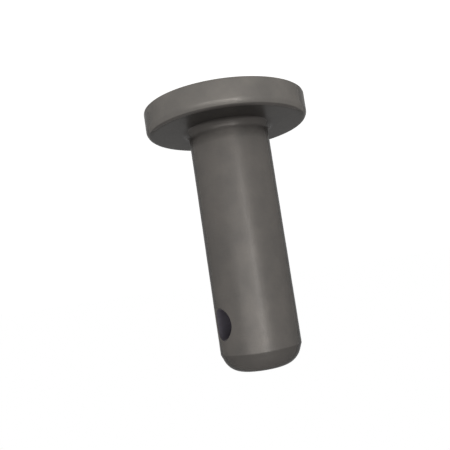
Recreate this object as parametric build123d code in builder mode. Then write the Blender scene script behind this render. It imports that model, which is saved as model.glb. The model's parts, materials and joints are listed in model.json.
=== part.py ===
"""A headed clevis pin: one piece of steel, standing on the outer face of its head.

Millimetres. The origin is the centre of the head's outer face, and +Z runs up the shank to its point.
The hole for the split pin crosses the shank along X.
"""

import os
from math import radians, tan

from build123d import *

os.makedirs("parts", exist_ok=True)

# Driving dimensions
shank_diameter = 16.0
head_diameter = 32.4
head_thickness = 5.0
length_under_head = 47.6
neck_fillet_radius = 1.4          # the shank runs into the head's bearing face
outer_edge_radius = 0.3           # edge of the face that the pin stands on
bearing_edge_radius = 1.3         # edge of the face that bears on the fork
split_pin_hole_diameter = 6.0
hole_axis_to_end = 9.6            # from the hole's axis to the flat end of the point
hole_edge_break = 0.25            # bevel at both mouths of the hole
point_length = 3.7                # from the end of the plain shank to the flat end
point_bevel_angle = 22.6          # slope of the point's bevel from the axis, in degrees
point_blend_radius = 4.0          # rounds the bevel into the flat end

# Derived dimensions
shank_radius = shank_diameter / 2
head_radius = head_diameter / 2
overall_length = head_thickness + length_under_head
point_start = overall_length - point_length
point_corner_radius = shank_radius - point_length * tan(radians(point_bevel_angle))
hole_height = overall_length - hole_axis_to_end
hole_radius = split_pin_hole_diameter / 2

# Clevis pin: half of its section turned about the axis, its edges rounded, then drilled across
with BuildPart() as clevis_pin:
    with BuildSketch(Plane.XZ):
        with BuildLine():
            Polyline(
                (0, 0),
                (head_radius, 0),
                (head_radius, head_thickness),
                (shank_radius, head_thickness),
                (shank_radius, point_start),
                (point_corner_radius, overall_length),
                (0, overall_length),
                close=True,
            )
        make_face()
    revolve(axis=Axis.Z)

    turned_edges = clevis_pin.edges().filter_by(GeomType.CIRCLE)
    head_edges = turned_edges.group_by(SortBy.RADIUS)[-1].sort_by(Axis.Z)
    neck_edge = turned_edges.group_by(SortBy.RADIUS)[-2].sort_by(Axis.Z)[0]
    end_edge = turned_edges.sort_by(Axis.Z)[-1]
    fillet(end_edge, radius=point_blend_radius)
    fillet(neck_edge, radius=neck_fillet_radius)
    fillet(head_edges[-1], radius=bearing_edge_radius)
    fillet(head_edges[0], radius=outer_edge_radius)

    with Locations(Plane.YZ):
        with Locations((0, hole_height)):
            Hole(radius=hole_radius)
    hole_wall = clevis_pin.faces().filter_by(GeomType.CYLINDER).sort_by(SortBy.RADIUS)[0]
    hole_mouths = hole_wall.edges().filter_by(GeomType.LINE, reverse=True)
    chamfer(hole_mouths, length=hole_edge_break)

clevis_pin.part.label = "clevis_pin"
export_step(clevis_pin.part, "parts/clevis_pin.step")
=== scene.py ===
import json
import math

import bmesh
import bpy
from bpy.props import FloatProperty, FloatVectorProperty, IntProperty, PointerProperty, StringProperty
from mathutils import Matrix, Vector, noise


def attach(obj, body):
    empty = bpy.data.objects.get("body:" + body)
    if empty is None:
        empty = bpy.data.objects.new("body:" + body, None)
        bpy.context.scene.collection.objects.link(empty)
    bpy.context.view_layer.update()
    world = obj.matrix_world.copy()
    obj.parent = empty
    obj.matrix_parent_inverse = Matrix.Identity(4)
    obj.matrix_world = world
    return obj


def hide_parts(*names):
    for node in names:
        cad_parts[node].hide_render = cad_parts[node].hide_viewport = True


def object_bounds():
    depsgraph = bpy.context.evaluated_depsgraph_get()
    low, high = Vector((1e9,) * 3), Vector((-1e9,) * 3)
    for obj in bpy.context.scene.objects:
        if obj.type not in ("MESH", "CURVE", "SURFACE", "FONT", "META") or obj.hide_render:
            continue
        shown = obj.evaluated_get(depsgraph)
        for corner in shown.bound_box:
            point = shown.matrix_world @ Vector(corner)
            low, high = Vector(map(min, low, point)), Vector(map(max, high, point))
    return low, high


bl_info = {
    "name": "Clevis pin",
    "version": (1, 0, 0),
    "blender": (4, 5, 0),
    "location": "3D View > Sidebar > Clevis pin",
    "description": "Builds a headed clevis pin in phosphated steel and the plain stage that it stands on",
    "category": "Object",
}

MM = 0.001

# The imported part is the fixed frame: its box and its mounts give the main sizes.
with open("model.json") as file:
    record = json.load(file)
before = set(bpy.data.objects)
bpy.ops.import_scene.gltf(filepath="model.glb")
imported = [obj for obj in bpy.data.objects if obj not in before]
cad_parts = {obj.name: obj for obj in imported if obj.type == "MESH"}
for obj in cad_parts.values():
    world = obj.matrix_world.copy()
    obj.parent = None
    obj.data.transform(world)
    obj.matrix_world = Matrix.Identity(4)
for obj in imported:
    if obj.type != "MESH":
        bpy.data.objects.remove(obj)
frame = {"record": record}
CAD_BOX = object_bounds()
MOUNTS = {mount["name"]: mount for mount in frame["record"]["mounts"]}
LENGTH = CAD_BOX[1].z - CAD_BOX[0].z
HEAD_DIAMETER = CAD_BOX[1].x - CAD_BOX[0].x
SHANK_DIAMETER = 2 * MOUNTS["shank"]["dims"]["r_mm"] * MM
HOLE_DIAMETER = 2 * MOUNTS["split_pin_hole"]["dims"]["r_mm"] * MM
HOLE_HEIGHT = MOUNTS["split_pin_hole"]["pos_m"][2]
HEAD_THICKNESS = MOUNTS["bearing_face"]["pos_m"][2]


def linear(hex_colour):
    """An sRGB hex colour as linear RGBA."""
    text = hex_colour.lstrip("#")
    values = [int(text[i:i + 2], 16) / 255 for i in (0, 2, 4)]
    return (*[v / 12.92 if v <= 0.04045 else ((v + 0.055) / 1.055) ** 2.4 for v in values], 1.0)


def add_node(tree, kind, settings=None, inputs=None, links=None):
    """Adds a node, sets its properties and sockets, and links other sockets into it."""
    node = tree.nodes.new(kind)
    for name, value in (settings or {}).items():
        setattr(node, name, value)
    for name, value in (inputs or {}).items():
        node.inputs[name].default_value = value
    for name, socket in (links or {}).items():
        tree.links.new(socket, node.inputs[name])
    return node


def new_material(name):
    """A material with an empty node tree."""
    material = bpy.data.materials.new(name)
    material.use_nodes = True
    material.node_tree.nodes.clear()
    return material, material.node_tree


def link_object(name, data):
    """An object in the scene's collection."""
    thing = bpy.data.objects.new(name, data)
    bpy.context.scene.collection.objects.link(thing)
    return thing


# ---------------------------------------------------------------- sizes and colours

class PinSettings(bpy.types.PropertyGroup):
    """The clevis pin."""

    shank_diameter: FloatProperty(name="Shank diameter", description="Across the plain shank",
                                  default=SHANK_DIAMETER, unit="LENGTH")
    head_diameter: FloatProperty(name="Head diameter", description="Across the head",
                                 default=HEAD_DIAMETER, unit="LENGTH")
    head_thickness: FloatProperty(name="Head thickness", description="Outer face to bearing face",
                                  default=HEAD_THICKNESS, unit="LENGTH")
    length: FloatProperty(name="Overall length", description="Outer face of the head to the flat end",
                          default=LENGTH, unit="LENGTH")
    neck_fillet: FloatProperty(name="Neck fillet", description="Radius where the shank meets the head",
                               default=1.4 * MM, unit="LENGTH")
    outer_edge: FloatProperty(name="Outer edge", description="Radius round the head's outer face",
                              default=0.3 * MM, unit="LENGTH")
    bearing_edge: FloatProperty(name="Bearing edge", description="Radius round the head's bearing face",
                                default=1.3 * MM, unit="LENGTH")
    hole_diameter: FloatProperty(name="Hole diameter", description="Cross hole for the split pin",
                                 default=HOLE_DIAMETER, unit="LENGTH")
    hole_height: FloatProperty(name="Hole height", description="The hole's axis over the floor",
                               default=HOLE_HEIGHT, unit="LENGTH")
    hole_bevel: FloatProperty(name="Hole edge break", description="Bevel at both mouths of the hole",
                              default=0.25 * MM, unit="LENGTH")
    point_length: FloatProperty(name="Point length", description="End of the plain shank to the flat end",
                                default=3.7 * MM, unit="LENGTH")
    point_angle: FloatProperty(name="Point bevel", description="Slope of the bevel from the axis",
                               default=math.radians(22.6), subtype="ANGLE")
    point_blend: FloatProperty(name="Point blend", description="Radius from the bevel into the flat end",
                               default=4.0 * MM, unit="LENGTH")
    columns: IntProperty(name="Columns", description="Mesh columns round the pin, an even number",
                         default=256, min=64)
    waviness: FloatProperty(name="Waviness", description="Depth of the surface's long unevenness",
                            default=0.04 * MM, unit="LENGTH")
    steel: StringProperty(name="Steel", description="Colour of the phosphated steel", default="#6b6763")
    steel_dark: StringProperty(name="Dark patches", description="Colour where the coating is thickest",
                               default="#625f5c")
    # painted light: the rim's two colours are lighter than the shank's for the light that falls on the rim
    rim: StringProperty(name="Rim", description="Colour of the head's rim, rubbed lighter in use",
                        default="#7c7873")
    lit_rim_patches: StringProperty(name="Rim patches", description="Colour where the rim is rubbed least",
                             default="#716e6a")
    # painted shade: this colour darkens the neck's corner, the bearing face and the point for the shade that
    # falls there, not for oil or dust
    shade_colour: StringProperty(name="Deposit", description="Colour of the oil and dust in the neck",
                            default="#3f3c3a")
    # the bore's colour is a little darker than the steel outside
    bore: StringProperty(name="Bore", description="Colour of the oily steel inside the hole",
                         default="#66626a")


class StageSettings(bpy.types.PropertyGroup):
    """Camera, lights and floor."""

    turn: FloatProperty(name="Turn", description="Camera's place round the pin, from the front towards +X",
                        default=math.radians(29.0), subtype="ANGLE")
    elevation: FloatProperty(name="Elevation", description="Camera's angle over the aim",
                             default=math.radians(4.93), subtype="ANGLE")
    roll: FloatProperty(name="Roll", description="Camera's turn about its line of sight",
                        default=math.radians(171.30), subtype="ANGLE")
    distance: FloatProperty(name="Distance", description="Camera to the aim",
                            default=112.0 * MM, unit="LENGTH")
    aim_height: FloatProperty(name="Aim height", description="Height of the aim on the pin's axis",
                              default=26.4 * MM, unit="LENGTH")
    swing: FloatVectorProperty(name="Swing", size=2, default=(-0.0391, 0.00836),
                               description="How far the aim lies right of and below the line of sight")
    lens: FloatProperty(name="Lens", description="Focal length in millimetres, on a 36 mm sensor",
                        default=45.0)
    shift: FloatVectorProperty(name="Shift", description="Lens shift across and up, for the framing",
                               size=2, default=(-0.0911, 0.0111))
    floor_size: FloatProperty(name="Floor size", description="Width of the floor",
                              default=6.0, unit="LENGTH")
    floor_colour: StringProperty(name="Floor colour", description="Pale matt floor", default="#f2f2f2")
    floor_lift: FloatProperty(name="Floor lift", default=0.89,
                              description="How far the floor is lifted towards white to the eye")
    surround: FloatProperty(name="Surround", description="Strength of the even light from all round",
                            default=0.14)
    soft_box: FloatProperty(name="Soft box", description="Power of the broad lamp in watts", default=2.2)
    strip: FloatProperty(name="Strip", description="Power of the narrow lamp in watts", default=0.017)


# ---------------------------------------------------------------- materials

def phosphated_steel(name, light, dark, shade_colour):
    """Turned steel, phosphated and oiled: a dark grey, faintly warm, satin skin with cloudy patches.

    The crystals of the coating scatter most of the light, so it looks half way to matt, and the oil on
    top of them gives the one soft streak of gloss. The tool's fine rings still show through as a slight
    unevenness across the streak.
    """
    material, tree = new_material(name)
    place = add_node(tree, "ShaderNodeTexCoord").outputs["Object"]

    # clouds of thicker coating, about 5 mm across, and grains of it, about 0.5 mm across
    clouds = add_node(tree, "ShaderNodeTexNoise",
                      inputs={"Scale": 1 / (5 * MM), "Detail": 3.0, "Roughness": 0.55},
                      links={"Vector": place})
    grains = add_node(tree, "ShaderNodeTexNoise",
                      inputs={"Scale": 1 / (0.5 * MM), "Detail": 2.0, "Roughness": 0.6},
                      links={"Vector": place})
    cloudiness = add_node(tree, "ShaderNodeMapRange", inputs={"From Min": 0.35, "From Max": 0.7},
                          links={"Value": clouds.outputs["Fac"]})
    colour = add_node(tree, "ShaderNodeMix", {"data_type": "RGBA"},
                      links={"Factor": cloudiness.outputs["Result"]})
    colour.inputs["A"].default_value = linear(light)
    colour.inputs["B"].default_value = linear(dark)

    # painted shade: the corner under the head, the bearing face and the point are darkened towards the shade
    # colour, for the shade that falls there
    shade_amount = add_node(tree, "ShaderNodeAttribute", {"attribute_name": "painted_shade"})
    darkened = add_node(tree, "ShaderNodeMix", {"data_type": "RGBA"},
                        links={"Factor": shade_amount.outputs["Fac"]})
    tree.links.new(colour.outputs["Result"], darkened.inputs["A"])
    darkened.inputs["B"].default_value = linear(shade_colour)

    # turning marks: rings round the axis, 0.45 mm apart, with the coating's grains on them
    squash = add_node(tree, "ShaderNodeMapping", inputs={"Scale": (1.0, 1.0, 6.0)}, links={"Vector": place})
    rings = add_node(tree, "ShaderNodeTexNoise",
                     inputs={"Scale": 1 / (2.7 * MM), "Detail": 4.0, "Roughness": 0.65},
                     links={"Vector": squash.outputs["Vector"]})
    ring_bump = add_node(tree, "ShaderNodeBump", inputs={"Strength": 0.4, "Distance": 0.06 * MM},
                         links={"Height": rings.outputs["Fac"]})
    grain_bump = add_node(tree, "ShaderNodeBump", inputs={"Strength": 0.35, "Distance": 0.02 * MM},
                          links={"Height": grains.outputs["Fac"], "Normal": ring_bump.outputs["Normal"]})
    roughness = add_node(tree, "ShaderNodeMapRange", inputs={"To Min": 0.36, "To Max": 0.5},
                         links={"Value": grains.outputs["Fac"]})

    # the dark tint keeps the edges from flaring, and the coat is the film of oil
    surface = add_node(tree, "ShaderNodeBsdfPrincipled",
                       inputs={"Metallic": 0.5, "Specular IOR Level": 0.1,
                               "Specular Tint": (0.05, 0.05, 0.05, 1.0),
                               "Coat Weight": 0.07, "Coat Roughness": 0.2},
                       links={"Base Color": darkened.outputs["Result"],
                              "Roughness": roughness.outputs["Result"],
                              "Normal": grain_bump.outputs["Normal"],
                              "Coat Normal": ring_bump.outputs["Normal"]})
    add_node(tree, "ShaderNodeOutputMaterial", links={"Surface": surface.outputs["BSDF"]})
    return material


def drilled_bore(settings):
    """The drilled wall of the hole: a grey a little darker than the steel outside, with the drill's rings
    along it.
    """
    material, tree = new_material("darker_drilled_bore")
    place = add_node(tree, "ShaderNodeTexCoord").outputs["Object"]
    rings = add_node(tree, "ShaderNodeTexNoise", inputs={"Scale": 1 / (0.6 * MM), "Detail": 2.0},
                     links={"Vector": place})
    bump = add_node(tree, "ShaderNodeBump", inputs={"Strength": 0.3, "Distance": 0.03 * MM},
                    links={"Height": rings.outputs["Fac"]})
    roughness = add_node(tree, "ShaderNodeMapRange", inputs={"To Min": 0.4, "To Max": 0.6},
                         links={"Value": rings.outputs["Fac"]})
    surface = add_node(tree, "ShaderNodeBsdfPrincipled",
                       inputs={"Base Color": linear(settings.bore), "Metallic": 0.0,
                               "Specular IOR Level": 0.25},
                       links={"Roughness": roughness.outputs["Result"], "Normal": bump.outputs["Normal"]})
    add_node(tree, "ShaderNodeOutputMaterial", links={"Surface": surface.outputs["BSDF"]})
    return material


# ---------------------------------------------------------------- the pin's mesh

# how finely each stretch of the half section is divided
OUTER_EDGE_STEPS = 6
RIM_STEPS = 8
BEARING_EDGE_STEPS = 12
BEARING_FACE_STEPS = 12
FILLET_STEPS = 12
BEVEL_STEPS = 6
BLEND_STEPS = 18

# rings that close an end face, that lead from the shank's grid to a mouth, and that line the bore
DISC_RINGS = 12
MOUTH_RINGS = 8
BORE_RINGS = 28
GAP_ROOM = 1.45  # half the width of the gap in the grid round a mouth, against the mouth's radius

# the unevenness: length of its long and its short waves, and depth of the short against the long
LONG_WAVE = 5 * MM
SHORT_WAVE = 1.6 * MM
SHORT_SHARE = 0.45

# how strong the painted shade is: in the neck, how many fillets it reaches from the corner, and elsewhere
NECK_SHADE = 0.8
NECK_REACH = 2.6
AWAY_FACING_SHADE = 0.42

TINY = 1e-6
# material slots; the rim's slot holds a copy of the steel painted lighter for the light on the rim
STEEL, BORE, LIT_RIM = range(3)


def arc(centre, radius, start, end, steps):
    """Points of an arc in the half section, angles in degrees, both ends included."""
    angles = [math.radians(start + (end - start) * i / steps) for i in range(steps + 1)]
    return [(centre[0] + radius * math.cos(a), centre[1] + radius * math.sin(a)) for a in angles]


def run(start, end, steps):
    """Points of a straight run in the half section, without its ends."""
    return [(start[0] + (end[0] - start[0]) * i / steps, start[1] + (end[1] - start[1]) * i / steps)
            for i in range(1, steps)]


def half_section(s):
    """The turned outline as (radius, height) points, on both sides of the plain shank.

    The first list goes from the outer face's rim to the top of the neck fillet, and the second from
    above the shoulder to the flat end's rim. The shoulder, where the point starts, comes between them.
    """
    head, shank = s.head_diameter / 2, s.shank_diameter / 2
    outer, edge, neck, blend = s.outer_edge, s.bearing_edge, s.neck_fillet, s.point_blend
    slope = math.degrees(s.point_angle)
    # the blend touches the flat end and the bevel: its centre lies one radius in from both
    corner = shank - s.point_length * math.tan(s.point_angle)
    reach = blend * math.tan((math.pi / 2 - s.point_angle) / 2)
    blend_centre = (corner - reach, s.length - blend)
    outer_edge = arc((head - outer, outer), outer, -90, 0, OUTER_EDGE_STEPS)
    bearing_edge = arc((head - edge, s.head_thickness - edge), edge, 0, 90, BEARING_EDGE_STEPS)
    fillet = arc((shank + neck, s.head_thickness + neck), neck, 270, 180, FILLET_STEPS)
    point = arc(blend_centre, blend, slope, 90, BLEND_STEPS)
    shoulder = (shank, s.length - s.point_length)
    rim = run(outer_edge[-1], bearing_edge[0], RIM_STEPS)
    bearing_face = run(bearing_edge[-1], fillet[0], BEARING_FACE_STEPS)
    bevel = run(shoulder, point[0], BEVEL_STEPS)
    return outer_edge + rim + bearing_edge + bearing_face + fillet, shoulder, bevel + point


def turned(verts, radius, angle, height):
    """Adds a point of a turned surface and gives its number."""
    verts.append(Vector((radius * math.cos(angle), radius * math.sin(angle), height)))
    return len(verts) - 1


def stitch(faces, ring, following, outward=True):
    """A band of quads between two closed rings."""
    for i in range(len(ring)):
        j = (i + 1) % len(ring)
        quad = (ring[i], ring[j], following[j], following[i])
        faces.append(quad if outward else quad[::-1])


def close_end(verts, faces, rim, radius, height, outward):
    """A flat end face: rings inside its rim that close on one centre point."""
    columns = len(rim)
    ring = rim
    for i in range(1, DISC_RINGS):
        inner = [turned(verts, radius * (1 - i / DISC_RINGS), 2 * math.pi * c / columns, height)
                 for c in range(columns)]
        stitch(faces, ring, inner, outward)
        ring = inner
    centre = turned(verts, 0.0, 0.0, height)
    for c in range(columns):
        wedge = (ring[c], ring[(c + 1) % columns], centre)
        faces.append(wedge if outward else wedge[::-1])


def gap_border(gap):
    """The border of a gap in the grid, anticlockwise from outside, as (column, row) offsets."""
    right = [(gap, k) for k in range(-gap, gap)]
    top = [(k, gap) for k in range(gap, -gap, -1)]
    left = [(-gap, k) for k in range(gap, -gap, -1)]
    bottom = [(k, -gap) for k in range(-gap, gap)]
    return right + top + left + bottom


def mouth(verts, faces, s, border, outer, side):
    """A mouth of the hole: from the gap's border over the shank to the bevel, and down it to the bore."""
    shank, hole = s.shank_diameter / 2, s.hole_diameter / 2
    lip = hole + s.hole_bevel
    turns = [math.atan2(up, across) for across, up in border]
    rings = [outer]
    for k in range(1, MOUTH_RINGS + 1):
        share = k / MOUTH_RINGS
        ring = []
        for index, turn in zip(outer, turns):
            start = verts[index]
            wide = math.asin(start.y / shank)
            lip_wide = math.asin(lip * math.cos(turn) / shank)
            lip_height = s.hole_height + lip * math.sin(turn)
            angle = wide + (lip_wide - wide) * share
            height = start.z + (lip_height - start.z) * share
            ring.append(turned(verts, shank, angle if side == 1 else math.pi - angle, height))
        rings.append(ring)
    inside = []
    for turn in turns:
        y, z = hole * math.cos(turn), s.hole_height + hole * math.sin(turn)
        verts.append(Vector((side * (math.sqrt(shank**2 - y**2) - s.hole_bevel), y, z)))
        inside.append(len(verts) - 1)
    rings.append(inside)
    for ring, following in zip(rings, rings[1:]):
        stitch(faces, ring, following, side == 1)
    return inside


def line_bore(verts, faces, near, far):
    """The bore's wall, from one mouth to the other."""
    ring = near
    for k in range(1, BORE_RINGS):
        following = []
        for a, b in zip(near, far):
            verts.append(verts[a] + (verts[b] - verts[a]) * k / BORE_RINGS)
            following.append(len(verts) - 1)
        stitch(faces, ring, following)
        ring = following
    stitch(faces, ring, far)


def uneven(point, depth):
    """How far in the surface lies at a point: soft waves, never proud of the true form."""
    long_place = Vector((point.x, point.y, point.z * 0.7)) / LONG_WAVE
    short_place = Vector((point.x, point.y, point.z * 1.6)) / SHORT_WAVE + Vector((7.0, 3.0, 1.0))
    long_wave, short_wave = noise.noise(long_place), noise.noise(short_place)
    return depth * (0.5 + 0.5 * long_wave) + SHORT_SHARE * depth * (0.5 + 0.5 * short_wave)


def make_uneven(verts, s):
    """Lets the surface in a little: towards the axis, and on the flat end towards the head.

    The bore, the head's outer face and the centre of the flat end stay true.
    """
    shank, hole = s.shank_diameter / 2, s.hole_diameter / 2
    for v in verts:
        out = Vector((v.x, v.y, 0.0))
        level = abs(v.y) < hole and abs(v.z - s.hole_height) < hole
        if out.length < TINY or level and out.length < shank - s.hole_bevel / 2:
            continue
        if v.z > s.length - TINY:
            v.z -= uneven(v, s.waviness)
        elif v.z >= s.outer_edge * 0.5:
            v -= out.normalized() * uneven(v, s.waviness)


def mark_painted_shade(mesh, verts, s):
    """Painted shade: how far the colour is darkened, most in the neck's corner, less on the bearing face and
    the point, which face away from the light.
    """
    corner = Vector((s.shank_diameter / 2, s.head_thickness))
    painted_shade = mesh.attributes.new("painted_shade", "FLOAT", "POINT")
    for v, value in zip(verts, painted_shade.data):
        away = (Vector((math.hypot(v.x, v.y), v.z)) - corner).length
        neck = NECK_SHADE * max(0.0, 1.0 - away / (NECK_REACH * s.neck_fillet)) ** 0.7
        on_point = v.z > s.length - s.point_length
        on_bearing_face = abs(v.z - s.head_thickness) < 0.25 * s.bearing_edge
        value.value = max(neck, AWAY_FACING_SHADE if on_point or on_bearing_face else 0.0)


def close_up(mesh):
    """Drops the points left over inside the gaps, and makes sure that the mesh is closed."""
    work = bmesh.new()
    work.from_mesh(mesh)
    bmesh.ops.delete(work, geom=[v for v in work.verts if not v.link_faces], context="VERTS")
    if any(not e.is_manifold for e in work.edges):
        raise RuntimeError("the pin's mesh isn't closed")
    bmesh.ops.recalc_face_normals(work, faces=work.faces)
    work.to_mesh(mesh)
    work.free()


def pin_mesh(s):
    """The whole pin as one closed mesh, with the hole's mouths let into the shank's grid."""
    columns, shank = s.columns, s.shank_diameter / 2
    lower, shoulder, upper = half_section(s)

    # rows on the plain shank: even steps, with one row level with the hole's axis
    step = 2 * math.pi * shank / columns
    gap = math.ceil((s.hole_diameter / 2 + s.hole_bevel) * GAP_ROOM / step)
    start, end = lower[-1][1], shoulder[1]
    below = round((s.hole_height - start) / step)
    above = max(gap + 1, round((end - s.hole_height) / step))
    heights = [start + (s.hole_height - start) * i / below for i in range(1, below + 1)]
    heights += [s.hole_height + (end - s.hole_height) * i / above for i in range(1, above + 1)]
    section = lower + [(shank, z) for z in heights] + upper
    middle = len(lower) + below - 1

    # the turned surface, with a square gap where each mouth of the hole goes
    verts, faces = [], []
    grid = [[turned(verts, r, 2 * math.pi * c / columns, z) for c in range(columns)] for r, z in section]
    for row in range(len(section) - 1):
        for col in range(columns):
            past = col % (columns // 2)
            off = min(past, columns // 2 - 1 - past)
            if off < gap and middle - gap <= row < middle + gap:
                continue
            beside = (col + 1) % columns
            faces.append((grid[row][col], grid[row][beside], grid[row + 1][beside], grid[row + 1][col]))

    close_end(verts, faces, grid[0], *section[0], outward=False)
    close_end(verts, faces, grid[-1], *section[-1], outward=True)

    border = gap_border(gap)
    front = [grid[middle + up][across % columns] for across, up in border]
    back = [grid[middle + up][(columns // 2 - across) % columns] for across, up in border]
    near = mouth(verts, faces, s, border, front, 1)
    far = mouth(verts, faces, s, border, back, -1)
    bore_start = len(faces)
    line_bore(verts, faces, near, far)
    make_uneven(verts, s)

    mesh = bpy.data.meshes.new("clevis_pin_turned")
    mesh.from_pydata([tuple(v) for v in verts], [], faces)
    if mesh.validate():
        raise RuntimeError("the pin's mesh had faces that don't hold")
    # painted light: faces out at the head's rim take the rim's copy of the steel, painted lighter for the
    # light that falls there
    painted = s.head_diameter / 2 - 0.4 * s.bearing_edge
    for polygon in mesh.polygons:
        polygon.use_smooth = True
        polygon.material_index = BORE if polygon.index >= bore_start else STEEL
        if Vector(polygon.center[:2]).length > painted:
            polygon.material_index = LIT_RIM
    # painted shade in the neck, on the bearing face and on the point
    mark_painted_shade(mesh, verts, s)
    mesh.set_sharp_from_angle(angle=math.radians(30))
    close_up(mesh)
    return mesh


class PIN_OT_clevis_pin(bpy.types.Operator):
    """Builds the pin: head, shank, bevelled point and split pin hole in one turned piece"""

    bl_idname = "clevis.pin"
    bl_label = "Clevis pin"

    def execute(self, context):
        s = context.scene.clevis_pin
        pin = link_object("clevis_pin_turned", pin_mesh(s))
        # in the order of the steel, the bore and the rim, whose copy of the steel is painted lighter for the
        # light on it
        pin.data.materials.append(phosphated_steel("phosphated_steel", s.steel, s.steel_dark, s.shade_colour))
        pin.data.materials.append(drilled_bore(s))
        pin.data.materials.append(phosphated_steel("phosphated_rim_painted_lit", s.rim, s.lit_rim_patches, s.shade_colour))
        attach(pin, "root")
        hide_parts("clevis_pin")
        return {"FINISHED"}


# ---------------------------------------------------------------- the stage

def seen_share(tree, camera_share):
    """One for a reflected or transmitted ray, camera_share for the camera's own, and nought for the rest."""
    path = add_node(tree, "ShaderNodeLightPath").outputs
    straight = add_node(tree, "ShaderNodeMath", {"operation": "MULTIPLY"}, {1: camera_share},
                        {0: path["Is Camera Ray"]})
    mirrored = add_node(tree, "ShaderNodeMath", {"operation": "MAXIMUM"},
                        links={0: path["Is Glossy Ray"], 1: path["Is Transmission Ray"]})
    either = add_node(tree, "ShaderNodeMath", {"operation": "MAXIMUM"},
                      links={0: straight.outputs["Value"], 1: mirrored.outputs["Value"]})
    return either.outputs["Value"]


def pale_ground(settings):
    """A pale matt floor. To the eye it is lifted to white, and it keeps the pin's shadow."""
    material, tree = new_material("pale_matt_floor")
    matt = add_node(tree, "ShaderNodeBsdfDiffuse", inputs={"Color": linear(settings.floor_colour)})
    glow = add_node(tree, "ShaderNodeEmission", inputs={"Color": (1, 1, 1, 1)},
                    links={"Strength": seen_share(tree, settings.floor_lift)})
    both = add_node(tree, "ShaderNodeAddShader",
                    links={0: matt.outputs["BSDF"], 1: glow.outputs["Emission"]})
    add_node(tree, "ShaderNodeOutputMaterial", links={"Surface": both.outputs["Shader"]})
    return material


def lamp(name, towards, distance, width, height, power, aim):
    """A soft lamp at a distance from the aim, facing it."""
    data = bpy.data.lights.new(name, "AREA")
    data.shape, data.size, data.size_y, data.energy = "RECTANGLE", width, height, power
    thing = link_object(name, data)
    thing.location = aim + towards.normalized() * distance
    thing.rotation_mode = "QUATERNION"
    thing.rotation_quaternion = (-towards).to_track_quat("-Z", "Y")
    return thing


class PIN_OT_stage(bpy.types.Operator):
    """Builds the pale floor, the soft light and the camera"""

    bl_idname = "clevis.stage"
    bl_label = "Stage"

    def execute(self, context):
        s = context.scene.clevis_stage
        half = s.floor_size / 2
        corners = [(-half, -half, 0), (half, -half, 0), (half, half, 0), (-half, half, 0)]
        mesh = bpy.data.meshes.new("floor")
        mesh.from_pydata(corners, [], [(0, 1, 2, 3)])
        mesh.materials.append(pale_ground(s))
        floor = link_object("floor", mesh)

        world = bpy.data.worlds.new("even_surround")
        context.scene.world = world
        world.use_nodes = True
        tree = world.node_tree
        tree.nodes.clear()
        seen = seen_share(tree, 1.0)
        strength = add_node(tree, "ShaderNodeMapRange", inputs={"To Min": s.surround, "To Max": 1.0},
                            links={"Value": seen})
        background = add_node(tree, "ShaderNodeBackground", inputs={"Color": (1, 1, 1, 1)},
                              links={"Strength": strength.outputs["Result"]})
        add_node(tree, "ShaderNodeOutputWorld", links={"Surface": background.outputs["Background"]})

        # the broad lamp lights the pin from the camera's side; the narrow one stands close by, and the oil
        # shows it as one thin streak along the shank
        aim = Vector((0.0, 0.0, s.aim_height))
        front = Vector((math.sin(s.turn), -math.cos(s.turn), 0.0))
        side = Vector((math.cos(s.turn), math.sin(s.turn), 0.0))
        lamp("broad_soft_box", front + side * 0.12, distance=0.6, width=0.7, height=0.5,
             power=s.soft_box, aim=aim)
        strip = lamp("narrow_strip", front - side * 0.26, distance=0.075, width=0.003, height=0.12,
                     power=s.strip, aim=Vector((0.0, 0.0, 60 * MM)))
        strip.visible_camera = False

        # camera: rolled to the viewing angle, then turned so that the aim lies off its line of sight
        back = front * math.cos(s.elevation) + Vector((0, 0, math.sin(s.elevation)))
        up = Vector((0, 0, 1)) * math.cos(s.elevation) - front * math.sin(s.elevation)
        right = up.cross(back)
        axes = Matrix((right, up, back)).transposed()
        axes = axes @ Matrix.Rotation(s.roll, 3, "Z")
        off = Vector((s.swing[0], -s.swing[1], -1.0)).normalized()
        axes = axes @ off.rotation_difference(Vector((0, 0, -1))).to_matrix()
        data = bpy.data.cameras.new("camera")
        data.sensor_width, data.lens = 36.0, s.lens
        data.shift_x, data.shift_y = s.shift
        data.clip_start, data.clip_end = 0.01, 20.0
        camera = link_object("camera", data)
        camera.matrix_world = Matrix.Translation(aim + back * s.distance) @ axes.to_4x4()
        context.scene.camera = camera
        context.scene.view_settings.view_transform = "Standard"
        return {"FINISHED"}


class PIN_PT_panel(bpy.types.Panel):
    """Lists the pin's and the stage's settings"""

    bl_label = "Clevis pin"
    bl_idname = "PIN_PT_panel"
    bl_space_type = "VIEW_3D"
    bl_region_type = "UI"
    bl_category = "Clevis pin"

    def draw(self, context):
        scene = context.scene
        for settings, button in ((scene.clevis_pin, PIN_OT_clevis_pin), (scene.clevis_stage, PIN_OT_stage)):
            box = self.layout.box()
            for name in settings.__annotations__:
                box.prop(settings, name)
            box.operator(button.bl_idname)


CLASSES = (PinSettings, StageSettings, PIN_OT_clevis_pin, PIN_OT_stage, PIN_PT_panel)


def register():
    for cls in CLASSES:
        bpy.utils.register_class(cls)
    bpy.types.Scene.clevis_pin = PointerProperty(type=PinSettings)
    bpy.types.Scene.clevis_stage = PointerProperty(type=StageSettings)


def unregister():
    del bpy.types.Scene.clevis_pin
    del bpy.types.Scene.clevis_stage
    for cls in reversed(CLASSES):
        bpy.utils.unregister_class(cls)


def main():
    register()
    bpy.ops.clevis.stage()
    bpy.ops.clevis.pin()


if __name__ == "__main__":
    main()
